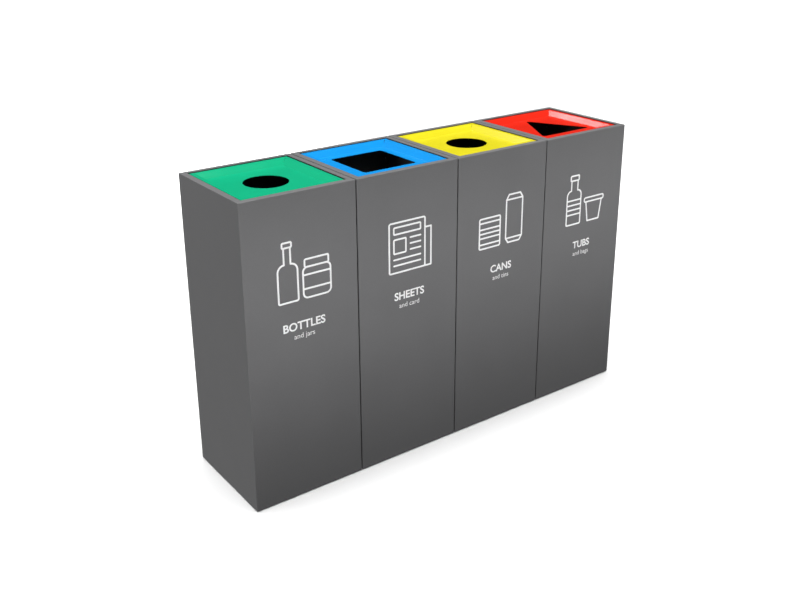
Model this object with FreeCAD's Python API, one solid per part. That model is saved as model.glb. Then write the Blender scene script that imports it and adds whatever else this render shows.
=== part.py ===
"""Four-stream recycling bin station, in millimetres.

Four folded-steel bins stand side by side and are bolted together. Each bin is a shell with a turned-in
top rim, a riveted back panel, a floor pan on plastic glides, a seat frame under the rim, a dished
lift-off lid with its own shape of opening, and a galvanised liner with a wire bail.

+X runs along the row, +Y points to the back, +Z is up. The origin is on the floor, under the middle
of the row.
"""
import FreeCAD
import Part
import math
import os

V = FreeCAD.Vector

# ---------------------------------------------------------------- driving sizes
STREAMS = ("glass", "paper", "can", "plastic")

BIN_WIDTH = 350.0
BIN_DEPTH = 350.0
STATION_HEIGHT = 900.0
BIN_GAP = 3.0               # between two neighbouring shells, held by the spacer washers

# shell: one sheet wrapped round front, sides and rear returns, with its rim welded at the corners
SHELL_SHEET = 1.2
FOLD_RADIUS = 2.0           # outside radius of every fold
RIM_WIDTH = 17.5            # from the outside face to the edge of the top opening
REAR_RETURN = 20.0          # flange left round the rear opening

# seat frame: a Z-section ring under the rim that carries the lid
SEAT_SHEET = 1.2
SEAT_WELD_LEG = 9.0
BUFFER_DIAMETER = 8.0       # rubber buffer's head, on the ledge that carries the lid
BUFFER_EDGE = 0.5           # ledge left on either side of it

# lid: a folded tray that drops into the rim
LID_SHEET = 1.2
LID_INSET = 2.0             # lid's flange below the rim's top face
LID_GAP = 3.0               # all round, between the lid and the seat frame
LID_FLANGE = 12.0
DISH_RUN = 20.0             # the dish's slope, seen from above
DISH_DROP = 14.0
DISH_FOLD = 1.5             # inside radius at the dish's floor
LIP_RADIUS = 1.0            # at the dish's upper edge
RELIEF_WIDTH = 1.0          # open seam at each folded corner of the dish
RELIEF_LENGTH = 15.0
RELIEF_OVERRUN = 2.0        # past the dish's corner, into the flange

# openings in the lids
ROUND_OPENING = 126.0       # diameter, for glass and for cans
SQUARE_LAND = 31.0          # flat left between the paper opening and the slopes
SQUARE_CORNER = 10.0
TRIANGLE_SIDE_LAND = 16.5   # from the slopes to the plastic opening's corners, before they are rounded
TRIANGLE_FRONT_LAND = 37.0
TRIANGLE_BACK_LAND = 13.0
TRIANGLE_CORNER = 7.0

# rubber buffers pushed into the ledge
BUFFER_HEAD = 1.0
BUFFER_STEM = 4.0
BUFFER_BARB = 5.6
BUFFER_BARB_LENGTH = 3.0
BUFFER_SPACING = 200.0      # front to back

# floor pan, glides and liner guides
PAN_SHEET = 1.2
PAN_FLANGE = 22.0
GLIDE_HEIGHT = 3.0          # shell's lower edge above the floor
GLIDE_DIAMETER = 40.0
GLIDE_BEVEL = 1.0
GLIDE_SPIGOT = 10.0
GLIDE_CAP = 12.0
GLIDE_CAP_HEIGHT = 1.0
GLIDE_INSET = 25.0          # glide's centre from the outside of the shell
GUIDE_SHEET = 1.5
GUIDE_LENGTH = 34.0
GUIDE_HEIGHT = 30.0
GUIDE_CLEARANCE = 2.0       # between the liner's wall and the guide

# liner and its wire bail
LINER_SHEET = 1.0
LINER_CORNER = 5.0          # outside radius of the upright corners
LINER_RIM = 5.0             # width and height of the wired edge
LINER_RIM_ROUND = 2.0
LINER_BEAD = 3.0            # how far the stiffening bead stands out
LINER_BEAD_HEIGHT = 16.0
LINER_BEAD_BELOW_RIM = 90.0
BAIL_WIRE = 5.0
BAIL_CORNER = 8.0           # bend radius at the wire's centre, at the crossbar
BAIL_PIN_BEND = 5.0         # bend radius at the wire's centre, at the pivot
BAIL_SIDE_GAP = 1.0         # between the wire and the wired edge
BAIL_HEADROOM = 30.0        # above the bail when it stands upright under the lid
BAIL_HEAD = 8.0             # peened end that keeps the bail in its ears
BAIL_HEAD_LENGTH = 1.5
PIVOT_BELOW_RIM = 14.0
PIVOT_CLEARANCE = 0.1       # radial
LIFT_CLEARANCE = 2.3        # between the bail and the seat frame as the liner is lifted out
WALL_REST_GAP = 0.3         # between the hanging bail and the liner's wall

# ears riveted to the liner that carry the bail
EAR_SHEET = 2.0
EAR_WIDTH = 44.0
EAR_HEIGHT = 22.0
EAR_BOSS = 12.0
EAR_BOSS_GAP = 0.5          # from the boss to where the wire starts to bend
EAR_UNDER_RIM = 0.5         # gap between the plate and the wired edge
EAR_RIVET_SPACING = 28.0

# fasteners
CROWN = 0.6                 # flat of a domed or pointed end, as a share of its full width
RIVET_SHANK = 4.0
RIVET_HEAD = 8.0
RIVET_HEAD_HEIGHT = 1.2
RIVET_BULB = 5.6
RIVET_BULB_LENGTH = 3.0
RIVET_HOLE_CLEARANCE = 0.1  # radial
BACK_RIVETS_UP = 5          # in each rear return
BACK_RIVET_END = 70.0       # lowest and highest rivet from the panel's ends
BACK_RIVETS_ACROSS = 3
BACK_RIVET_PITCH = 110.0
EAR_RIVET_SHANK = 3.2
EAR_RIVET_HEAD = 6.0
EAR_RIVET_HEAD_HEIGHT = 1.0

BOLT_DIAMETER = 6.0
BOLT_HOLE_CLEARANCE = 0.3   # radial
BOLT_HEAD_FLATS = 10.0
BOLT_HEAD_HEIGHT = 4.0
BOLT_OVERHANG = 2.0         # thread standing past the nut
NUT_HEIGHT = 5.0
NUT_CLEARANCE = 0.05        # radial, thread drawn plain
WASHER_DIAMETER = 12.5
WASHER_THICKNESS = 1.6
WASHER_CLEARANCE = 0.2      # radial
SPACER_DIAMETER = 18.0
BOLT_FROM_MIDDLE = 110.0    # front and back of the bin's middle
BOLT_FROM_FLOOR = 120.0
BOLT_FROM_TOP = 100.0

REST_GAP = 0.1              # between a lift-out piece and what it rests on

# ---------------------------------------------------------------- sizes that follow
PITCH = BIN_WIDTH + BIN_GAP
HALF_WIDTH = BIN_WIDTH / 2
HALF_DEPTH = BIN_DEPTH / 2
RIM_UNDERSIDE = STATION_HEIGHT - SHELL_SHEET

OPENING_X = HALF_WIDTH - RIM_WIDTH      # half sizes of the top opening
OPENING_Y = HALF_DEPTH - RIM_WIDTH
SEAT_X = OPENING_X - SEAT_SHEET         # inside the seat frame's upright
SEAT_Y = OPENING_Y - SEAT_SHEET
LEDGE_WIDTH = BUFFER_DIAMETER + 2 * BUFFER_EDGE
LEDGE_X = SEAT_X - LEDGE_WIDTH          # inside the ledge
LEDGE_Y = SEAT_Y - LEDGE_WIDTH

LID_TOP = STATION_HEIGHT - LID_INSET
LID_UNDERSIDE = LID_TOP - LID_SHEET
LID_X = SEAT_X - LID_GAP
LID_Y = SEAT_Y - LID_GAP
DISH_X = LID_X - LID_FLANGE             # dish at the lid's top face
DISH_Y = LID_Y - LID_FLANGE
DISH_FLOOR_X = DISH_X - DISH_RUN
DISH_FLOOR_Y = DISH_Y - DISH_RUN
DISH_FLOOR = LID_TOP - DISH_DROP
DISH_UNDERSIDE = DISH_FLOOR - LID_SHEET
LEDGE_TOP = LID_UNDERSIDE - REST_GAP - BUFFER_HEAD

PAN_TOP = GLIDE_HEIGHT + PAN_SHEET
LINER_BOTTOM = PAN_TOP + GUIDE_SHEET + REST_GAP
BAIL_ARM_X = LEDGE_X - LIFT_CLEARANCE - BAIL_WIRE / 2
LINER_RIM_X = BAIL_ARM_X - BAIL_WIRE / 2 - BAIL_SIDE_GAP
LINER_RIM_Y = LINER_RIM_X + (LEDGE_Y - LEDGE_X)
LINER_X = LINER_RIM_X - LINER_RIM
LINER_Y = LINER_RIM_Y - LINER_RIM
BAIL_REACH = math.hypot(LINER_RIM_Y, PIVOT_BELOW_RIM) + BAIL_WIRE / 2 + BAIL_SIDE_GAP
PIVOT_Z = DISH_UNDERSIDE - BAIL_HEADROOM - BAIL_WIRE / 2 - BAIL_REACH
LINER_TOP = PIVOT_Z + PIVOT_BELOW_RIM
BAIL_DROOP = math.degrees(math.acos((LINER_Y + BAIL_WIRE / 2 + WALL_REST_GAP) / BAIL_REACH))

SHELL_INSIDE_X = HALF_WIDTH - SHELL_SHEET
SHELL_INSIDE_Y = HALF_DEPTH - SHELL_SHEET   # the back panel's outer face lies here
INNER_FOLD = FOLD_RADIUS - SHELL_SHEET
PIN_HOLE = BAIL_WIRE / 2 + PIVOT_CLEARANCE
RIVET_HOLE = RIVET_SHANK / 2 + RIVET_HOLE_CLEARANCE
EAR_RIVET_HOLE = EAR_RIVET_SHANK / 2 + RIVET_HOLE_CLEARANCE
BOLT_HOLE = BOLT_DIAMETER / 2 + BOLT_HOLE_CLEARANCE


# ---------------------------------------------------------------- shared shapes
def block(x0, x1, y0, y1, z0, z1):
    """Box between two opposite corners."""
    return Part.makeBox(x1 - x0, y1 - y0, z1 - z0, V(x0, y0, z0))


def slab(half_x, half_y, z0, z1):
    """Box centred on the bin's upright axis."""
    return block(-half_x, half_x, -half_y, half_y, z0, z1)


def ring(outer_x, outer_y, inner_x, inner_y, z0, z1):
    """Rectangular ring centred on the bin's upright axis."""
    return slab(outer_x, outer_y, z0, z1).cut(slab(inner_x, inner_y, z0 - 1, z1 + 1))


def upright_edges(shape):
    """Straight edges that run along Z."""
    found = []
    for edge in shape.Edges:
        box = edge.BoundBox
        if box.XLength < 1e-6 and box.YLength < 1e-6:
            found.append(edge)
    return found


def level_edges(shape, z):
    """Edges that lie at one height."""
    found = []
    for edge in shape.Edges:
        box = edge.BoundBox
        if abs(box.ZMin - z) < 1e-6 and abs(box.ZMax - z) < 1e-6:
            found.append(edge)
    return found


def rounded_slab(half_x, half_y, z0, z1, corner):
    """Centred box with its upright edges rounded."""
    box = slab(half_x, half_y, z0, z1)
    return box.makeFillet(corner, upright_edges(box))


def square_corners(half_x, half_y, z):
    """Corners of a centred rectangle, going round."""
    return [V(-half_x, -half_y, z), V(half_x, -half_y, z), V(half_x, half_y, z), V(-half_x, half_y, z)]


def frustum(top_x, top_y, z_top, low_x, low_y, z_low):
    """Rectangular dish shape with straight slopes."""
    wires = []
    for half_x, half_y, z in ((low_x, low_y, z_low), (top_x, top_y, z_top)):
        corners = square_corners(half_x, half_y, z)
        wires.append(Part.makePolygon(corners + corners[:1]))
    return Part.makeLoft(wires, True, True)


def turned(profile, at, axis):
    """Solid of revolution. The profile is a list of (distance along the axis, radius) points."""
    points = [V(radius, 0, along) for along, radius in profile]
    face = Part.Face(Part.makePolygon(points + points[:1]))
    solid = face.revolve(V(0, 0, 0), V(0, 0, 1), 360)
    solid.Placement = FreeCAD.Placement(at, FreeCAD.Rotation(V(0, 0, 1), axis))
    return solid


def hexagon(flats, height, at):
    """Hexagonal prism whose axis runs along +X from the point given."""
    radius = flats / 2 / math.cos(math.pi / 6)
    points = []
    for corner in range(7):
        angle = math.radians(60 * corner)
        points.append(V(at.x, at.y + radius * math.cos(angle), at.z + radius * math.sin(angle)))
    return Part.Face(Part.makePolygon(points)).extrude(V(height, 0, 0))


def tube(radius, bore, length, at):
    """Plain ring whose axis runs along +X from the point given."""
    outside = Part.makeCylinder(radius, length, at, V(1, 0, 0))
    return outside.cut(Part.makeCylinder(bore, length, at, V(1, 0, 0)))


def rounded_outline(points, radius):
    """Closed outline through the points, with every corner rounded."""
    edges = []
    arcs = []
    count = len(points)
    for index, point in enumerate(points):
        before = (points[index - 1] - point).normalize()
        after = (points[(index + 1) % count] - point).normalize()
        half = before.getAngle(after) / 2
        back = radius / math.tan(half)
        middle = (before + after).normalize() * (radius / math.sin(half) - radius)
        arcs.append((point + before * back, point + middle, point + after * back))
    for index, (start, middle, end) in enumerate(arcs):
        edges.append(Part.Arc(start, middle, end).toShape())
        edges.append(Part.LineSegment(end, arcs[(index + 1) % count][0]).toShape())
    return Part.Wire(edges)


# ---------------------------------------------------------------- shell, panel, seat
def joint_bolt_places():
    """(y, z) of the bolts that join two neighbouring bins."""
    places = []
    for z in (BOLT_FROM_FLOOR, STATION_HEIGHT - BOLT_FROM_TOP):
        for y in (-BOLT_FROM_MIDDLE, BOLT_FROM_MIDDLE):
            places.append((y, z))
    return places


def back_rivet_places():
    """(x, z) of the rivets through the rear returns and the back panel."""
    low = GLIDE_HEIGHT + BACK_RIVET_END
    step = (STATION_HEIGHT - BACK_RIVET_END - low) / (BACK_RIVETS_UP - 1)
    places = []
    for side in (-1, 1):
        for count in range(BACK_RIVETS_UP):
            places.append((side * (HALF_WIDTH - REAR_RETURN / 2), low + count * step))
    for count in range(BACK_RIVETS_ACROSS):
        across = (count - (BACK_RIVETS_ACROSS - 1) / 2) * BACK_RIVET_PITCH
        places.append((across, STATION_HEIGHT - REAR_RETURN / 2))
    return places


def drill_back(shape):
    """Cuts the back rivets' holes."""
    for x, z in back_rivet_places():
        hole = Part.makeCylinder(RIVET_HOLE, BIN_DEPTH / 2, V(x, BIN_DEPTH / 4, z), V(0, 1, 0))
        shape = shape.cut(hole)
    return shape


def shell(index):
    """Front, sides, rear returns and top rim, folded from sheet and drilled where it meets a neighbour."""
    outside = slab(HALF_WIDTH, HALF_DEPTH, GLIDE_HEIGHT, STATION_HEIGHT)
    folds = upright_edges(outside) + level_edges(outside, STATION_HEIGHT)
    outside = outside.makeFillet(FOLD_RADIUS, folds)
    inside = slab(SHELL_INSIDE_X, SHELL_INSIDE_Y, GLIDE_HEIGHT - 1, RIM_UNDERSIDE)
    folds = upright_edges(inside) + level_edges(inside, RIM_UNDERSIDE)
    inside = inside.makeFillet(INNER_FOLD, folds)
    body = outside.cut(inside)
    body = body.cut(slab(OPENING_X, OPENING_Y, RIM_UNDERSIDE - 1, STATION_HEIGHT + 1))
    rear_x = HALF_WIDTH - REAR_RETURN
    body = body.cut(block(-rear_x, rear_x, 0, BIN_DEPTH, GLIDE_HEIGHT - 1, STATION_HEIGHT - REAR_RETURN))
    body = drill_back(body)
    for side, neighbour in ((-1, index > 0), (1, index < len(STREAMS) - 1)):
        for y, z in joint_bolt_places() if neighbour else ():
            body = body.cut(Part.makeCylinder(BOLT_HOLE, BIN_WIDTH, V(0, y, z), V(side, 0, 0)))
    return body


def back_panel():
    """Flat sheet riveted inside the rear returns."""
    inner_face = SHELL_INSIDE_Y - SHELL_SHEET
    top = RIM_UNDERSIDE - INNER_FOLD
    sheet = block(-SHELL_INSIDE_X, SHELL_INSIDE_X, inner_face, SHELL_INSIDE_Y, GLIDE_HEIGHT, top)
    ends = [edge for edge in upright_edges(sheet) if edge.BoundBox.YMin > SHELL_INSIDE_Y - 1e-6]
    return drill_back(sheet.makeChamfer(INNER_FOLD, ends))


def back_rivets():
    """Blind rivets, head outside and bulb inside."""
    grip = 2 * SHELL_SHEET
    shank = RIVET_SHANK / 2
    head = RIVET_HEAD / 2
    bulb = RIVET_BULB / 2
    seat = RIVET_BULB_LENGTH + grip
    top = seat + RIVET_HEAD_HEIGHT
    profile = [
        (0, 0), (0, bulb * CROWN), (bulb - bulb * CROWN, bulb), (RIVET_BULB_LENGTH, bulb),
        (RIVET_BULB_LENGTH, shank), (seat, shank), (seat, head), (top, head * CROWN), (top, 0),
    ]
    start = HALF_DEPTH - grip - RIVET_BULB_LENGTH
    return [turned(profile, V(x, start, z), V(0, 1, 0)) for x, z in back_rivet_places()]


def buffer_places():
    """(x, y) of the rubber buffers on the side ledges."""
    across = (SEAT_X + LEDGE_X) / 2
    return [(side * across, end * BUFFER_SPACING / 2) for side in (-1, 1) for end in (-1, 1)]


def seat_frame():
    """Z-section ring: weld leg under the rim, upright at the opening's edge, ledge inwards."""
    low = LEDGE_TOP - SEAT_SHEET
    leg_x = OPENING_X + SEAT_WELD_LEG
    leg_y = OPENING_Y + SEAT_WELD_LEG
    leg = ring(leg_x, leg_y, SEAT_X, SEAT_Y, RIM_UNDERSIDE - SEAT_SHEET, RIM_UNDERSIDE)
    upright = ring(OPENING_X, OPENING_Y, SEAT_X, SEAT_Y, low, RIM_UNDERSIDE)
    ledge = ring(OPENING_X, OPENING_Y, LEDGE_X, LEDGE_Y, low, LEDGE_TOP)
    frame = leg.fuse([upright, ledge]).removeSplitter()
    for x, y in buffer_places():
        frame = frame.cut(Part.makeCylinder(BUFFER_STEM / 2, SEAT_SHEET + 2, V(x, y, low - 1)))
    return frame


def seat_buffers():
    """Push-in rubber buffers that the lid rests on."""
    stem = BUFFER_STEM / 2
    barb = BUFFER_BARB / 2
    head = BUFFER_DIAMETER / 2
    seat = BUFFER_BARB_LENGTH + SEAT_SHEET
    profile = [
        (0, 0), (0, stem * CROWN), (BUFFER_BARB_LENGTH, barb), (BUFFER_BARB_LENGTH, stem),
        (seat, stem), (seat, head), (seat + BUFFER_HEAD / 2, head),
        (seat + BUFFER_HEAD, stem), (seat + BUFFER_HEAD, 0),
    ]
    start = LEDGE_TOP - seat
    return [turned(profile, V(x, y, start), V(0, 0, 1)) for x, y in buffer_places()]


# ---------------------------------------------------------------- lid
def opening_outline(stream, z):
    """Outline of the waste opening, at one height."""
    if stream in ("glass", "can"):
        return Part.Wire(Part.makeCircle(ROUND_OPENING / 2, V(0, 0, z)))
    if stream == "paper":
        half_x = DISH_FLOOR_X - SQUARE_LAND
        half_y = DISH_FLOOR_Y - SQUARE_LAND
        return rounded_outline(square_corners(half_x, half_y, z), SQUARE_CORNER)
    half_x = DISH_FLOOR_X - TRIANGLE_SIDE_LAND
    front = -(DISH_FLOOR_Y - TRIANGLE_FRONT_LAND)
    back = DISH_FLOOR_Y - TRIANGLE_BACK_LAND
    return rounded_outline([V(-half_x, front, z), V(half_x, front, z), V(0, back, z)], TRIANGLE_CORNER)


def dish(grow_x, z_top, z_floor, fold):
    """Solid that fills the dish, grown sideways by grow_x and rounded along its floor's folds."""
    slope = DISH_RUN / DISH_DROP
    rise = (z_top - LID_TOP) * slope
    fall = (DISH_FLOOR - z_floor) * slope
    solid = frustum(
        DISH_X + grow_x + rise, DISH_Y + grow_x + rise, z_top,
        DISH_FLOOR_X + grow_x - fall, DISH_FLOOR_Y + grow_x - fall, z_floor,
    )
    return solid.makeFillet(fold, level_edges(solid, z_floor))


def lid(stream):
    """Folded tray: flat flange, four slopes with open seams at the corners, floor with its opening."""
    wall = LID_SHEET * math.hypot(DISH_RUN, DISH_DROP) / DISH_DROP
    flange = rounded_slab(LID_X, LID_Y, LID_UNDERSIDE, LID_TOP, FOLD_RADIUS)
    tray = flange.fuse(dish(wall, LID_UNDERSIDE, DISH_UNDERSIDE, DISH_FOLD + LID_SHEET))
    tray = tray.cut(dish(0, LID_TOP, DISH_FLOOR, DISH_FOLD))
    lips = [
        edge for edge in level_edges(tray, LID_TOP)
        if max(abs(edge.BoundBox.XMin), abs(edge.BoundBox.XMax)) < DISH_X + 1
        and max(abs(edge.BoundBox.YMin), abs(edge.BoundBox.YMax)) < DISH_Y + 1
    ]
    tray = tray.makeFillet(LIP_RADIUS, lips)
    half_seam = RELIEF_WIDTH / 2
    for turn, (side, end) in enumerate(((1, 1), (-1, 1), (-1, -1), (1, -1))):
        seam = block(
            -RELIEF_LENGTH, RELIEF_OVERRUN, -half_seam, half_seam, DISH_UNDERSIDE - 1, LID_TOP + 1)
        seam.rotate(V(0, 0, 0), V(0, 0, 1), 45 + 90 * turn)
        seam.translate(V(side * DISH_X, end * DISH_Y, 0))
        tray = tray.cut(seam)
    hole = Part.Face(opening_outline(stream, DISH_UNDERSIDE - 1)).extrude(V(0, 0, LID_SHEET + 2))
    return tray.cut(hole)


# ---------------------------------------------------------------- floor
def glide_places():
    """(x, y) of the four glides under a bin."""
    x = HALF_WIDTH - GLIDE_INSET
    y = HALF_DEPTH - GLIDE_INSET
    return [(side * x, end * y) for side in (-1, 1) for end in (-1, 1)]


def floor_pan():
    """Pan with turned-up edges, welded inside the foot of the shell, in front of the back panel."""
    front = -SHELL_INSIDE_Y
    back = SHELL_INSIDE_Y - SHELL_SHEET
    top = GLIDE_HEIGHT + PAN_FLANGE
    outside = block(-SHELL_INSIDE_X, SHELL_INSIDE_X, front, back, GLIDE_HEIGHT, top)
    outside = outside.makeFillet(FOLD_RADIUS, upright_edges(outside))
    inner_x = SHELL_INSIDE_X - PAN_SHEET
    inside = block(-inner_x, inner_x, front + PAN_SHEET, back - PAN_SHEET, PAN_TOP, top + 1)
    inside = inside.makeFillet(FOLD_RADIUS - PAN_SHEET, upright_edges(inside))
    pan = outside.cut(inside)
    for x, y in glide_places():
        pan = pan.cut(Part.makeCylinder(GLIDE_SPIGOT / 2, PAN_SHEET + 2, V(x, y, GLIDE_HEIGHT - 1)))
    return pan


def glides():
    """Push-in plastic feet."""
    foot = GLIDE_DIAMETER / 2
    spigot = GLIDE_SPIGOT / 2
    cap = GLIDE_CAP / 2
    profile = [
        (0, 0), (0, foot - GLIDE_BEVEL), (GLIDE_BEVEL, foot), (GLIDE_HEIGHT, foot),
        (GLIDE_HEIGHT, spigot), (PAN_TOP, spigot), (PAN_TOP, cap), (PAN_TOP + GLIDE_CAP_HEIGHT / 2, cap),
        (PAN_TOP + GLIDE_CAP_HEIGHT, spigot), (PAN_TOP + GLIDE_CAP_HEIGHT, 0),
    ]
    return [turned(profile, V(x, y, 0), V(0, 0, 1)) for x, y in glide_places()]


def liner_guides():
    """Corner angles on the floor pan that centre the liner and carry it."""
    guides = []
    outer_x = LINER_X + GUIDE_CLEARANCE + GUIDE_SHEET
    outer_y = LINER_Y + GUIDE_CLEARANCE + GUIDE_SHEET
    for side in (-1, 1):
        for end in (-1, 1):
            base = block(0, GUIDE_LENGTH, 0, GUIDE_LENGTH, 0, GUIDE_SHEET)
            leg_x = block(0, GUIDE_SHEET, 0, GUIDE_LENGTH, 0, GUIDE_HEIGHT)
            leg_y = block(0, GUIDE_LENGTH, 0, GUIDE_SHEET, 0, GUIDE_HEIGHT)
            guide = base.fuse([leg_x, leg_y]).removeSplitter()
            turn = {(-1, -1): 0, (1, -1): 90, (1, 1): 180, (-1, 1): 270}[(side, end)]
            guide.rotate(V(0, 0, 0), V(0, 0, 1), turn)
            guide.translate(V(side * outer_x, end * outer_y, PAN_TOP))
            guides.append(guide)
    return guides


# ---------------------------------------------------------------- liner and bail
def ear_rivet_places():
    """(side, y, z) of the rivets through the ears."""
    return [(side, end * EAR_RIVET_SPACING / 2, PIVOT_Z) for side in (-1, 1) for end in (-1, 1)]


def bore_liner_side(shape, side, y, z, radius):
    """Cuts a hole through the liner's side wall and whatever is fixed to it."""
    start = V(side * LINER_X / 2, y, z)
    return shape.cut(Part.makeCylinder(radius, LINER_X, start, V(side, 0, 0)))


def bead(thickness):
    """Band with sloping edges, standing out of the liner's inner face, as thick as given."""
    middle = LINER_TOP - LINER_BEAD_BELOW_RIM
    low = middle - (LINER_BEAD_HEIGHT + thickness) / 2
    high = middle + (LINER_BEAD_HEIGHT + thickness) / 2
    out = LINER_BEAD - LINER_SHEET + thickness
    band = rounded_slab(LINER_X + out, LINER_Y + out, low, high, LINER_CORNER + out)
    return band.makeChamfer(LINER_BEAD + LINER_SHEET / 2, level_edges(band, low) + level_edges(band, high))


def liner():
    """Open galvanised box with a wired edge and one stiffening bead."""
    outside = rounded_slab(LINER_X, LINER_Y, LINER_BOTTOM, LINER_TOP, LINER_CORNER)
    under_edge = LINER_TOP - LINER_RIM
    wired_edge = rounded_slab(LINER_RIM_X, LINER_RIM_Y, under_edge, LINER_TOP, LINER_CORNER + LINER_RIM)
    round_over = level_edges(wired_edge, LINER_TOP) + level_edges(wired_edge, under_edge)
    wired_edge = wired_edge.makeFillet(LINER_RIM_ROUND, round_over)
    inner_x = LINER_X - LINER_SHEET
    inner_y = LINER_Y - LINER_SHEET
    floor = LINER_BOTTOM + LINER_SHEET
    inside = rounded_slab(inner_x, inner_y, floor, LINER_TOP + 1, LINER_CORNER - LINER_SHEET)
    body = outside.fuse([wired_edge, bead(LINER_SHEET)]).cut(inside.fuse(bead(0)))
    for side in (-1, 1):
        body = bore_liner_side(body, side, 0, PIVOT_Z, PIN_HOLE)
    for side, y, z in ear_rivet_places():
        body = bore_liner_side(body, side, y, z, EAR_RIVET_HOLE)
    return body


def bail_ears():
    """Plates with a bored boss, riveted to the liner's sides."""
    ears = []
    high = LINER_TOP - LINER_RIM - EAR_UNDER_RIM
    boss_length = BAIL_ARM_X - BAIL_PIN_BEND - EAR_BOSS_GAP - LINER_X
    for side in (-1, 1):
        near = min(side * LINER_X, side * (LINER_X + EAR_SHEET))
        plate = block(near, near + EAR_SHEET, -EAR_WIDTH / 2, EAR_WIDTH / 2, high - EAR_HEIGHT, high)
        boss = Part.makeCylinder(EAR_BOSS / 2, boss_length, V(side * LINER_X, 0, PIVOT_Z), V(side, 0, 0))
        ear = bore_liner_side(plate.fuse(boss).removeSplitter(), side, 0, PIVOT_Z, PIN_HOLE)
        for y in (-EAR_RIVET_SPACING / 2, EAR_RIVET_SPACING / 2):
            ear = bore_liner_side(ear, side, y, PIVOT_Z, EAR_RIVET_HOLE)
        ears.append(ear)
    return ears


def ear_rivets():
    """Solid rivets with a domed head outside and a flat one inside the liner."""
    grip = LINER_SHEET + EAR_SHEET
    shank = EAR_RIVET_SHANK / 2
    head = EAR_RIVET_HEAD / 2
    height = EAR_RIVET_HEAD_HEIGHT
    profile = [
        (0, 0), (0, head), (height, head), (height, shank), (height + grip, shank), (height + grip, head),
        (2 * height + grip, head * CROWN), (2 * height + grip, 0),
    ]
    rivets = []
    for side, y, z in ear_rivet_places():
        start = LINER_X - LINER_SHEET - height
        rivets.append(turned(profile, V(side * start, y, z), V(side, 0, 0)))
    return rivets


def bail():
    """Wire handle with turned-in pins and peened ends, hanging forward against the liner's front wall."""
    head_out = LINER_X - LINER_SHEET - 2 * PIVOT_CLEARANCE
    head_in = head_out - BAIL_HEAD_LENGTH
    arm = BAIL_ARM_X
    pin_bend = BAIL_PIN_BEND
    corner = BAIL_CORNER
    reach = BAIL_REACH
    root_half = math.sqrt(0.5)
    right = [
        Part.LineSegment(V(0, -reach, 0), V(arm - corner, -reach, 0)),
        Part.Arc(
            V(arm - corner, -reach, 0),
            V(arm - corner + corner * root_half, -reach + corner - corner * root_half, 0),
            V(arm, -reach + corner, 0),
        ),
        Part.LineSegment(V(arm, -reach + corner, 0), V(arm, -pin_bend, 0)),
        Part.Arc(
            V(arm, -pin_bend, 0),
            V(arm - pin_bend + pin_bend * root_half, -pin_bend + pin_bend * root_half, 0),
            V(arm - pin_bend, 0, 0),
        ),
        Part.LineSegment(V(arm - pin_bend, 0, 0), V(head_in, 0, 0)),
    ]
    path = Part.Wire([piece.toShape() for piece in right])
    section = Part.Wire(Part.makeCircle(BAIL_WIRE / 2, V(0, -reach, 0), V(1, 0, 0)))
    half = path.makePipeShell([section], True, False)
    end = Part.makeCylinder(BAIL_HEAD / 2, BAIL_HEAD_LENGTH, V(head_in, 0, 0), V(1, 0, 0))
    half = half.fuse(end)
    wire = half.fuse(half.mirror(V(0, 0, 0), V(1, 0, 0))).removeSplitter()
    wire.rotate(V(0, 0, 0), V(1, 0, 0), BAIL_DROOP)
    wire.translate(V(0, 0, PIVOT_Z))
    return wire


# ---------------------------------------------------------------- what joins the bins
def joining_hardware():
    """Bolts, nuts, washers and spacers through the side walls of neighbouring bins."""
    bolts = []
    nuts = []
    washers = []
    spacers = []
    wall = BIN_GAP / 2 + SHELL_SHEET
    stack = wall + WASHER_THICKNESS
    bolt_length = 2 * stack + NUT_HEIGHT + BOLT_OVERHANG
    nut_bore = BOLT_DIAMETER / 2 + NUT_CLEARANCE
    washer_bore = BOLT_DIAMETER / 2 + WASHER_CLEARANCE
    for junction in range(1, len(STREAMS)):
        x = (junction - len(STREAMS) / 2) * PITCH
        for y, z in joint_bolt_places():
            shank = Part.makeCylinder(BOLT_DIAMETER / 2, bolt_length, V(x - stack, y, z), V(1, 0, 0))
            head = hexagon(BOLT_HEAD_FLATS, BOLT_HEAD_HEIGHT, V(x - stack - BOLT_HEAD_HEIGHT, y, z))
            bolts.append(head.fuse(shank).removeSplitter())
            bore = Part.makeCylinder(nut_bore, NUT_HEIGHT, V(x + stack, y, z), V(1, 0, 0))
            nuts.append(hexagon(BOLT_HEAD_FLATS, NUT_HEIGHT, V(x + stack, y, z)).cut(bore))
            for start in (x - stack, x + wall):
                washers.append(tube(WASHER_DIAMETER / 2, washer_bore, WASHER_THICKNESS, V(start, y, z)))
            spacers.append(tube(SPACER_DIAMETER / 2, washer_bore, BIN_GAP, V(x - BIN_GAP / 2, y, z)))
    return {
        "joining_bolts": bolts,
        "joining_nuts": nuts,
        "joining_washers": washers,
        "gap_spacers": spacers,
    }


# ---------------------------------------------------------------- assembly
def save(name, solids):
    """Writes one node. Several solids become one group."""
    shape = Part.makeCompound(solids) if len(solids) > 1 else solids[0]
    for solid in solids:
        if not solid.isValid() or solid.Volume <= 0 or len(solid.Solids) != 1:
            print("CHECK", name, solid.isValid(), round(solid.Volume), len(solid.Solids))
    shape.exportStep("parts/%s.step" % name)


def bin_pieces(index, stream):
    """Every piece of one bin, in the bin's own frame."""
    return {
        "shell": [shell(index)],
        "back_panel": [back_panel()],
        "back_rivets": back_rivets(),
        "seat_frame": [seat_frame()],
        "seat_buffers": seat_buffers(),
        "lid": [lid(stream)],
        "floor_pan": [floor_pan()],
        "glides": glides(),
        "liner_guides": liner_guides(),
        "liner": [liner()],
        "bail": [bail()],
        "bail_ears": bail_ears(),
        "ear_rivets": ear_rivets(),
    }


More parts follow.
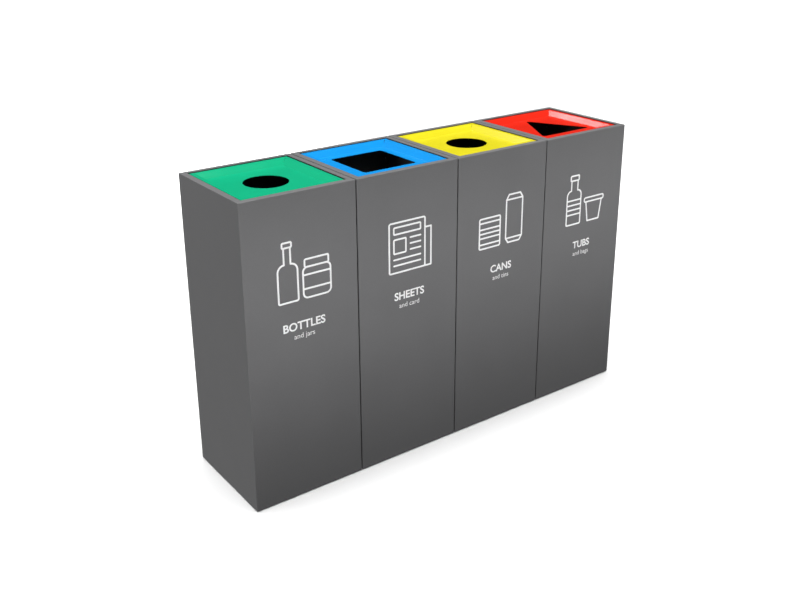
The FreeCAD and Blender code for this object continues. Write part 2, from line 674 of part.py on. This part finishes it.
os.makedirs("parts", exist_ok=True)
for index, stream in enumerate(STREAMS):
    middle = (index - (len(STREAMS) - 1) / 2) * PITCH
    for piece, solids in bin_pieces(index, stream).items():
        for solid in solids:
            solid.translate(V(middle, 0, 0))
        save("%s_bin_%s" % (stream, piece), solids)
for name, solids in joining_hardware().items():
    save(name, solids)

print("overall %.1f x %.1f x %.1f" % (len(STREAMS) * PITCH - BIN_GAP, BIN_DEPTH, STATION_HEIGHT))
print("lid: top %.2f, dish underside %.2f, dish floor half %.2f" % (LID_TOP, DISH_UNDERSIDE, DISH_FLOOR_X))
print("liner: half %.2f x %.2f, from %.2f to %.2f" % (LINER_X, LINER_Y, LINER_BOTTOM, LINER_TOP))
print("bail: pivot %.3f, reach %.3f, droop %.3f" % (PIVOT_Z, BAIL_REACH, BAIL_DROOP))
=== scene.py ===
import math

import bmesh
import bpy
from mathutils import Euler, Matrix, Vector
from mathutils.geometry import delaunay_2d_cdt


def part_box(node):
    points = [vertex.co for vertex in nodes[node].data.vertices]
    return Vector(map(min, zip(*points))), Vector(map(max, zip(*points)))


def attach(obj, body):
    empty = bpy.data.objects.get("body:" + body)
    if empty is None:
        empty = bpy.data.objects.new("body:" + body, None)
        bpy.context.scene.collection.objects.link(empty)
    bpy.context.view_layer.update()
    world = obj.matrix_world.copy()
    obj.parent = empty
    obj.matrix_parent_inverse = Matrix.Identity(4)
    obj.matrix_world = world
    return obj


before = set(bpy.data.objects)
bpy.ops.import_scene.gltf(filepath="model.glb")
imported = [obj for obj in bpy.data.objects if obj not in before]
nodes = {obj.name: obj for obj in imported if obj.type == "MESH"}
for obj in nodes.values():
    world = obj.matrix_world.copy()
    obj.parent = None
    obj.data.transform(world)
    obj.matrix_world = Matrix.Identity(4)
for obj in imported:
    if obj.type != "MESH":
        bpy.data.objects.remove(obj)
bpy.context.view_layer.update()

streams = ("glass", "paper", "can", "plastic")

# ---------------------------------------------------------------- camera
# The row is looked at from beyond the glass bin's end and from a little above the lids, so that the fronts,
# the left-hand side and the openings in the lids all show.
lens = bpy.data.cameras.new("camera")
lens.sensor_width = 36.0
lens.lens = 43.6
lens.shift_y = -0.075
lens.clip_start = 0.05
lens.clip_end = 200.0
camera = bpy.data.objects.new("camera", lens)
camera.location = (-1.723, -2.251, 1.620)
camera.rotation_euler = Euler((math.radians(70.24), math.radians(0.33), math.radians(-36.22)))
bpy.context.scene.collection.objects.link(camera)
bpy.context.scene.camera = camera

# ---------------------------------------------------------------- floor, backdrop and light
# A white studio floor runs out to a white backdrop. A soft light straight above whitens the floor. Softboxes
# light the fronts and the left-hand end, glint on the red lid, and fill the back and the other end.
bpy.context.scene.view_settings.view_transform = "Standard"
stage_radius = 40.0


def new_object(name, mesh):
    """Puts a mesh into the scene."""
    thing = bpy.data.objects.new(name, mesh)
    bpy.context.scene.collection.objects.link(thing)
    return thing


def new_material(name):
    """Empty node material with its output, ready for a shader."""
    material = bpy.data.materials.new(name)
    material.use_nodes = True
    tree = material.node_tree
    tree.nodes.clear()
    output = tree.nodes.new("ShaderNodeOutputMaterial")
    return material, tree, output


def add_node(tree, kind, sockets=None, **settings):
    """Adds one node. Sockets take a value or another node's output."""
    made = tree.nodes.new(kind)
    for name, value in settings.items():
        setattr(made, name, value)
    for name, value in (sockets or {}).items():
        if isinstance(value, bpy.types.NodeSocket):
            tree.links.new(value, made.inputs[name])
        else:
            made.inputs[name].default_value = value
    return made


def round_sheet(name, radius, height):
    """Flat round sheet, for the floor."""
    mesh = bpy.data.meshes.new(name)
    shape = bmesh.new()
    bmesh.ops.create_circle(shape, cap_ends=True, segments=96, radius=radius)
    shape.to_mesh(mesh)
    shape.free()
    sheet = new_object(name, mesh)
    sheet.location.z = height
    return sheet


floor_material, tree, output = new_material("floor_paper")
grain = add_node(tree, "ShaderNodeTexNoise", {"Scale": 3.0, "Detail": 2.0})
tone = add_node(tree, "ShaderNodeMapRange", {
    "Value": grain.outputs["Fac"],
    "To Min": 0.86,
    "To Max": 0.88,
})
level = tone.outputs["Result"]
paper = add_node(tree, "ShaderNodeCombineColor", {"Red": level, "Green": level, "Blue": level})
diffuse = add_node(tree, "ShaderNodeBsdfDiffuse", {"Color": paper.outputs["Color"]})
tree.links.new(diffuse.outputs["BSDF"], output.inputs["Surface"])
floor = round_sheet("studio_floor", stage_radius, -0.0005)
floor.data.materials.append(floor_material)

backdrop_material, tree, output = new_material("backdrop_light")
glow = add_node(tree, "ShaderNodeEmission", {"Color": (1.0, 1.0, 1.0, 1.0), "Strength": 1.0})
tree.links.new(glow.outputs["Emission"], output.inputs["Surface"])
dome_mesh = bpy.data.meshes.new("studio_backdrop")
shape = bmesh.new()
bmesh.ops.create_uvsphere(shape, u_segments=48, v_segments=24, radius=stage_radius)
shape.to_mesh(dome_mesh)
shape.free()
backdrop = new_object("studio_backdrop", dome_mesh)
backdrop.data.materials.append(backdrop_material)
backdrop.visible_transmission = False
backdrop.visible_shadow = False
for screen in (floor, backdrop):
    screen.visible_diffuse = False
    screen.visible_glossy = False

world = bpy.data.worlds.new("studio")
bpy.context.scene.world = world
world.use_nodes = True
tree = world.node_tree
surround = tree.nodes["Background"]
direction = add_node(tree, "ShaderNodeTexCoord")
upward = add_node(tree, "ShaderNodeSeparateXYZ", {"Vector": direction.outputs["Generated"]})
height = add_node(tree, "ShaderNodeMapRange", {"Value": upward.outputs["Z"], "From Min": -1.0})
studio_walls = add_node(tree, "ShaderNodeValToRGB", {"Fac": height.outputs["Result"]})
stops = studio_walls.color_ramp.elements
stops[0].color = (0.32, 0.32, 0.32, 1.0)
stops[1].color = (0.34, 0.34, 0.34, 1.0)
for place, shade in ((0.48, 0.32), (0.53, 0.05), (0.68, 0.05), (0.80, 0.34)):
    stop = stops.new(place)
    stop.color = (shade, shade, shade, 1.0)
tree.links.new(studio_walls.outputs["Color"], surround.inputs["Color"])
surround.inputs["Strength"].default_value = 1.0


def softbox(name, width, height, power, place, target):
    """Rectangular studio light that faces a point."""
    light = bpy.data.lights.new(name, "AREA")
    light.shape = "RECTANGLE"
    light.size = width
    light.size_y = height
    light.energy = power
    lamp = bpy.data.objects.new(name, light)
    lamp.location = place
    lamp.rotation_euler = (Vector(target) - Vector(place)).to_track_quat("-Z", "Y").to_euler()
    lamp.visible_camera = False
    bpy.context.scene.collection.objects.link(lamp)
    return lamp


overhead = bpy.data.lights.new("overhead", "SUN")
overhead.energy = 3.9
overhead.angle = math.radians(30)
overhead_lamp = bpy.data.objects.new("overhead", overhead)
bpy.context.scene.collection.objects.link(overhead_lamp)
front_box = softbox("front_box", 3.4, 0.4, 5.1, (0.0, -3.4, 1.0), (0.0, -0.175, 0.65))
front_box.data.spread = math.radians(24)
softbox("left_box", 2.0, 2.0, 32.0, (-3.6, 0.3, 1.2), (-0.7, 0.0, 0.5))
lid_box = softbox("lid_box", 0.7, 0.4, 0.5, (0.86, 2.07, 3.15), (0.53, 0.0, 0.88))
lid_box.data.spread = math.radians(24)
lid_box.visible_diffuse = False
softbox("back_fill", 2.6, 0.8, 40.0, (0.35, 3.4, 0.45), (0.0, 0.0, 0.45))
softbox("right_fill", 2.0, 0.8, 34.0, (3.7, -0.2, 0.45), (0.7, 0.0, 0.45))

# ---------------------------------------------------------------- bodies of the bins
# Each bin's shell, back panel, floor pan and liner guides are mild steel sheet, folded and welded, then
# sprayed with dark grey powder and baked. The coat is satin. The seat frame under the rim is black, which is
# painted shade that keeps the inside under the lids dark where it shows.
grey = (0.150, 0.150, 0.153)
# This black is painted shade: it keeps the inside under the lids dark where it shows.
black = (0.016, 0.016, 0.017)


def noise(tree, scale, detail):
    """Cloudy pattern that stays with the piece."""
    place = add_node(tree, "ShaderNodeTexCoord").outputs["Object"]
    pattern = add_node(tree, "ShaderNodeTexNoise", {"Vector": place, "Scale": scale, "Detail": detail})
    return pattern.outputs["Fac"]


def stretch(tree, pattern, low, high, start=0.0, end=1.0):
    """Carries a pattern from one range of values to another."""
    spread = add_node(tree, "ShaderNodeMapRange", {
        "Value": pattern,
        "From Min": start,
        "From Max": end,
        "To Min": low,
        "To Max": high,
    })
    return spread.outputs["Result"]


def two_tones(tree, pattern, dark, light):
    """Blends two colours by a pattern. The mix node's sockets 6, 7 and 2 are its colours and result."""
    tone = add_node(tree, "ShaderNodeMix", data_type="RGBA")
    tree.links.new(pattern, tone.inputs["Factor"])
    tone.inputs[6].default_value = dark + (1.0,)
    tone.inputs[7].default_value = light + (1.0,)
    return tone.outputs[2]


def shaded(colour, factor):
    """The same colour, lighter or darker."""
    return tuple(factor * part for part in colour)


def relief(tree, pattern, strength, depth):
    """Slight unevenness of a surface."""
    bump = add_node(tree, "ShaderNodeBump", {"Height": pattern, "Strength": strength, "Distance": depth})
    return bump.outputs["Normal"]


def finish(tree, output, sockets):
    """Principled shader on the material's surface."""
    surface = add_node(tree, "ShaderNodeBsdfPrincipled", sockets)
    tree.links.new(surface.outputs["BSDF"], output.inputs["Surface"])


def powder_coat(name, colour, rough_low, rough_high, ripple, gloss):
    """Baked powder coat: slight unevenness in tone and sheen, and a fine ripple."""
    material, tree, output = new_material(name)
    patches = noise(tree, 9.0, 5.0)
    speckle = noise(tree, 420.0, 2.0)
    both = add_node(tree, "ShaderNodeMath", {0: patches, 1: speckle}, operation="ADD").outputs["Value"]
    amount = stretch(tree, both, 0.0, 1.0, 0.6, 1.4)
    finish(tree, output, {
        "Base Color": two_tones(tree, amount, shaded(colour, 0.95), shaded(colour, 1.05)),
        "Roughness": stretch(tree, patches, rough_low, rough_high, 0.3, 0.7),
        "Normal": relief(tree, noise(tree, 650.0, 1.5), ripple, 0.0002),
        "Specular IOR Level": gloss,
    })
    return material


def dress(node, material):
    """Gives a piece its finish."""
    for slot in nodes[node].material_slots:
        slot.material = material


body_coat = powder_coat("grey_powder_coat", grey, 0.42, 0.52, 0.25, 0.5)
seat_frame_shade_coat = powder_coat("black_coat_painted_shade", black, 0.50, 0.60, 0.25, 0.4)
for stream in streams:
    for piece in ("shell", "back_panel", "floor_pan", "liner_guides"):
        dress(f"{stream}_bin_{piece}", body_coat)
    dress(f"{stream}_bin_seat_frame", seat_frame_shade_coat)

# ---------------------------------------------------------------- lids
# Each lid is a folded steel tray with its own shape of opening, loose on its buffers. The powder coat, which
# is glossier than the bodies', is green for glass, blue for paper, yellow for cans and red for plastic.
lid_colours = {
    "glass": (0.001, 0.390, 0.190),
    "paper": (0.001, 0.270, 0.700),
    "can": (0.690, 0.610, 0.010),
    "plastic": (0.720, 0.014, 0.001),
}
for stream, colour in lid_colours.items():
    dress(f"{stream}_bin_lid", powder_coat(f"{stream}_lid_coat", colour, 0.20, 0.28, 0.15, 0.2))

# ---------------------------------------------------------------- rubber buffers, glides and spacers
# The lids rest on black rubber buffers, the bins stand on black moulded glides, and black nylon rings keep
# the bins apart. All are moulded, with a matt, slightly grained skin.


def moulding(name, colour, grain_scale, rough):
    """Dark moulded rubber or plastic with a matt grain."""
    material, tree, output = new_material(name)
    grain = noise(tree, grain_scale, 3.0)
    finish(tree, output, {
        "Base Color": two_tones(tree, grain, shaded(colour, 0.7), shaded(colour, 1.3)),
        "Roughness": stretch(tree, grain, rough - 0.08, rough + 0.08),
        "Normal": relief(tree, grain, 0.3, 0.0002),
    })
    return material


buffer_rubber = moulding("buffer_rubber", (0.022, 0.022, 0.023), 500.0, 0.80)
glide_plastic = moulding("glide_plastic", (0.030, 0.030, 0.032), 300.0, 0.55)
spacer_nylon = moulding("spacer_nylon", (0.034, 0.034, 0.036), 260.0, 0.50)
for stream in streams:
    dress(f"{stream}_bin_seat_buffers", buffer_rubber)
    dress(f"{stream}_bin_glides", glide_plastic)
dress("gap_spacers", spacer_nylon)

# ---------------------------------------------------------------- liners
# The lift-out liners are folded from hot-dip galvanised sheet, with a wired edge and one pressed bead. The
# ears that carry the bail are riveted on, from the same stock. The spangled zinc is painted dark grey as
# painted shade, so that the inside of the bins looks dim.
# Both spangle tones are darkened: painted shade for the inside of the bins.
shaded_spangle_light = (0.40, 0.41, 0.43)
shaded_spangle_dark = (0.26, 0.27, 0.28)

liner_zinc_painted_shade, tree, output = new_material("galvanised_sheet_painted_shade")
place = add_node(tree, "ShaderNodeTexCoord").outputs["Object"]
spangles = add_node(tree, "ShaderNodeTexVoronoi", {"Vector": place, "Scale": 110.0}).outputs["Color"]
finish(tree, output, {
    "Base Color": two_tones(tree, spangles, shaded_spangle_dark, shaded_spangle_light),
    "Roughness": stretch(tree, spangles, 0.34, 0.52),
    "Metallic": 0.5,
    "Normal": relief(tree, noise(tree, 40.0, 3.0), 0.15, 0.0005),
})
for stream in streams:
    for piece in ("liner", "bail_ears"):
        dress(f"{stream}_bin_{piece}", liner_zinc_painted_shade)

# ---------------------------------------------------------------- bails, rivets and joining bolts
# The bails are drawn wire, bright zinc plated. The rivets are plain aluminium. The bins are joined by
# zinc-plated hexagon bolts with washers and nuts.


def bright_metal(name, colour, rough, scratch):
    """Small metal part with fine drawing or turning marks."""
    material, tree, output = new_material(name)
    marks = noise(tree, scratch, 4.0)
    finish(tree, output, {
        "Base Color": two_tones(tree, marks, shaded(colour, 0.88), shaded(colour, 1.08)),
        "Roughness": stretch(tree, marks, rough - 0.07, rough + 0.07),
        "Metallic": 1.0,
        "Normal": relief(tree, marks, 0.1, 0.0002),
    })
    return material


wire_zinc = bright_metal("bail_wire_zinc", (0.62, 0.63, 0.64), 0.30, 380.0)
rivet_metal = bright_metal("rivet_aluminium", (0.72, 0.72, 0.73), 0.36, 500.0)
bolt_zinc = bright_metal("bolt_zinc", (0.66, 0.66, 0.63), 0.32, 420.0)
for stream in streams:
    dress(f"{stream}_bin_bail", wire_zinc)
    dress(f"{stream}_bin_back_rivets", rivet_metal)
    dress(f"{stream}_bin_ear_rivets", rivet_metal)
for piece in ("joining_bolts", "joining_nuts", "joining_washers"):
    dress(piece, bolt_zinc)

# ---------------------------------------------------------------- pictograms
# Two thirds of the way up each front is an outline drawing of what goes into the bin, cut from white vinyl
# on a plotter and stuck on. The line has round ends. The drawings are set out in millimetres.
line_width = 5.3
vinyl_thickness = 0.0002
front_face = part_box("glass_bin_shell")[0].y
shell_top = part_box("glass_bin_shell")[1].z


def arc(x, z, radius, start, end):
    """Points of an arc, in degrees anticlockwise from +X."""
    steps = max(3, round(abs(end - start) / 15))
    angles = [math.radians(start + (end - start) * step / steps) for step in range(steps + 1)]
    return [(x + radius * math.cos(angle), z + radius * math.sin(angle)) for angle in angles]


def rounded_box(left, low, right, high, corner):
    """Closed line round a box with rounded corners."""
    line = arc(right - corner, high - corner, corner, 0, 90)
    line += arc(left + corner, high - corner, corner, 90, 180)
    line += arc(left + corner, low + corner, corner, 180, 270)
    line += arc(right - corner, low + corner, corner, 270, 360)
    return line + line[:1]


def mirrored(line, x):
    """The same line on the other side of an upright axis."""
    return [(2 * x - point[0], point[1]) for point in line]


def bottle(x, width, shoulder, neck, top, cap):
    """Front view of a standing bottle."""
    half = width / 2
    narrow = neck / 2
    side = [(x, 0), (x + half - 4, 0)] + arc(x + half - 4, 4, 4, -90, 0)
    side += arc(x + narrow, shoulder, half - narrow, 0, 90)[:-1]
    side += [(x + narrow, shoulder + half - narrow), (x + narrow, top - cap)]
    return [side, mirrored(side, x), rounded_box(x - narrow - 4, top - cap, x + narrow + 4, top, 3)]


def glass_lines():
    """Bottle beside a screw-top jar."""
    lines = bottle(-44, 60, 88, 20, 168, 14)
    lines.append(rounded_box(2, 0, 88, 88, 14))
    lines.append(rounded_box(8, 88, 82, 110, 4))
    lines += [[(2, 26), (88, 26)], [(2, 66), (88, 66)]]
    return lines


def paper_lines():
    """Folded newspaper with a heading, a picture and rules for the text."""
    lines = [rounded_box(-70, 0, 56, 150, 5), [(56, 118), (78, 118), (78, 0), (54, 0)]]
    lines += [rounded_box(-54, 116, 40, 136, 3), rounded_box(-54, 58, -12, 100, 3)]
    lines += [[(4, z), (40, z)] for z in (98, 80, 62)]
    lines += [[(-54, z), (40, z)] for z in (40, 22)]
    return lines


def can_lines():
    """Ribbed food tin beside a drink can with drawn-in ends."""
    lines = [rounded_box(-90, 0, -8, 96, 5)]
    lines += [[(-90, z), (-8, z)] for z in (14, 34, 48, 62, 82)]
    right_side = [(49, 0), (72, 0), (82, 14), (82, 138), (72, 154), (49, 154)]
    lines += [right_side, mirrored(right_side, 49)]
    lines += [[(16, 138), (82, 138)], [(16, 14), (82, 14)]]
    return lines


def plastic_lines():
    """Ribbed drinks bottle beside a tub with a snap-on lid."""
    lines = bottle(-44, 62, 98, 28, 164, 16)
    lines += [[(-75, z), (-13, z)] for z in (82, 66, 50, 34)]
    lines.append([(12, 66), (22, 0), (74, 0), (84, 66)])
    lines.append(rounded_box(4, 66, 92, 80, 5))
    return lines


def capsule(start, end):
    """Outline of one straight stretch of the line, with round ends."""
    turn = math.degrees(math.atan2(end[1] - start[1], end[0] - start[0]))
    far_end = arc(*end, line_width / 2, turn - 90, turn + 90)
    return far_end + arc(*start, line_width / 2, turn + 90, turn + 270)


def cut_vinyl(name, lines):
    """Merges the stretches of all lines into one flat cut-out with a little thickness."""
    points = []
    outlines = []
    for line in lines:
        for start, end in zip(line, line[1:]):
            outline = capsule(start, end)
            outlines.append(list(range(len(points), len(points) + len(outline))))
            points += [Vector(point) for point in outline]
    flat_points, _, faces, _, _, covered_by = delaunay_2d_cdt(points, [], outlines, 0, 1e-4)
    shape = bmesh.new()
    corners = [shape.verts.new((point.x / 1000, 0.0, point.y / 1000)) for point in flat_points]
    for face, covering in zip(faces, covered_by):
        if covering:
            shape.faces.new([corners[index] for index in face])
    loose = [corner for corner in shape.verts if not corner.link_faces]
    bmesh.ops.delete(shape, geom=loose, context="VERTS")
    bmesh.ops.dissolve_limit(shape, angle_limit=0.01, verts=shape.verts, edges=shape.edges)
    grown = bmesh.ops.extrude_face_region(shape, geom=shape.faces[:])
    for corner in grown["geom"]:
        if isinstance(corner, bmesh.types.BMVert):
            corner.co.y -= vinyl_thickness
    bmesh.ops.recalc_face_normals(shape, faces=shape.faces)
    mesh = bpy.data.meshes.new(name)
    shape.to_mesh(mesh)
    shape.free()
    return new_object(name, mesh)


def stick(piece, stream, height):
    """Sets a cut-out on the middle of a bin's front."""
    low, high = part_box(f"{stream}_bin_shell")
    piece.location = ((low.x + high.x) / 2, front_face, height)
    piece.data.materials.append(vinyl)
    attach(piece, "station")


vinyl, tree, output = new_material("white_vinyl")
cloud = noise(tree, 60.0, 3.0)
finish(tree, output, {
    "Base Color": two_tones(tree, cloud, (0.90, 0.90, 0.90), (1.0, 1.0, 1.0)),
    "Roughness": stretch(tree, cloud, 0.38, 0.52),
})

drawings = {
    "glass": glass_lines(),
    "paper": paper_lines(),
    "can": can_lines(),
    "plastic": plastic_lines(),
}
for stream, lines in drawings.items():
    stick(cut_vinyl(f"{stream}_pictogram", lines), stream, shell_top * 2 / 3)

# ---------------------------------------------------------------- lettering
# Two lines of the same white vinyl under each drawing say what goes in, the first in a heavy face and the
# second in a light one.
words = {
    "glass": ("BOTTLES", "and jars"),
    "paper": ("SHEETS", "and card"),
    "can": ("CANS", "and tins"),
    "plastic": ("TUBS", "and bags"),
}


def lettering(name, text, size, weight):
    """One line of cut letters, centred on its own middle."""
    face = bpy.data.curves.new(name, "FONT")
    face.body = text
    face.size = size
    face.offset = weight
    face.extrude = vinyl_thickness / 2
    face.align_x = "CENTER"
    face.align_y = "CENTER"
    face.resolution_u = 6
    draft = bpy.data.objects.new(name, face)
    bpy.context.scene.collection.objects.link(draft)
    mesh = bpy.data.meshes.new_from_object(draft.evaluated_get(bpy.context.evaluated_depsgraph_get()))
    mesh.name = name
    bpy.data.objects.remove(draft)
    upright = Matrix.Rotation(math.pi / 2, 4, "X")
    mesh.transform(Matrix.Translation((0.0, -vinyl_thickness / 2, 0.0)) @ upright)
    mesh.materials.clear()
    return new_object(name, mesh)


for stream, (heavy, light) in words.items():
    stick(lettering(f"{stream}_heading", heavy, 0.033, 0.0008), stream, shell_top * 0.583)
    stick(lettering(f"{stream}_contents", light, 0.021, 0.0), stream, shell_top * 0.550)
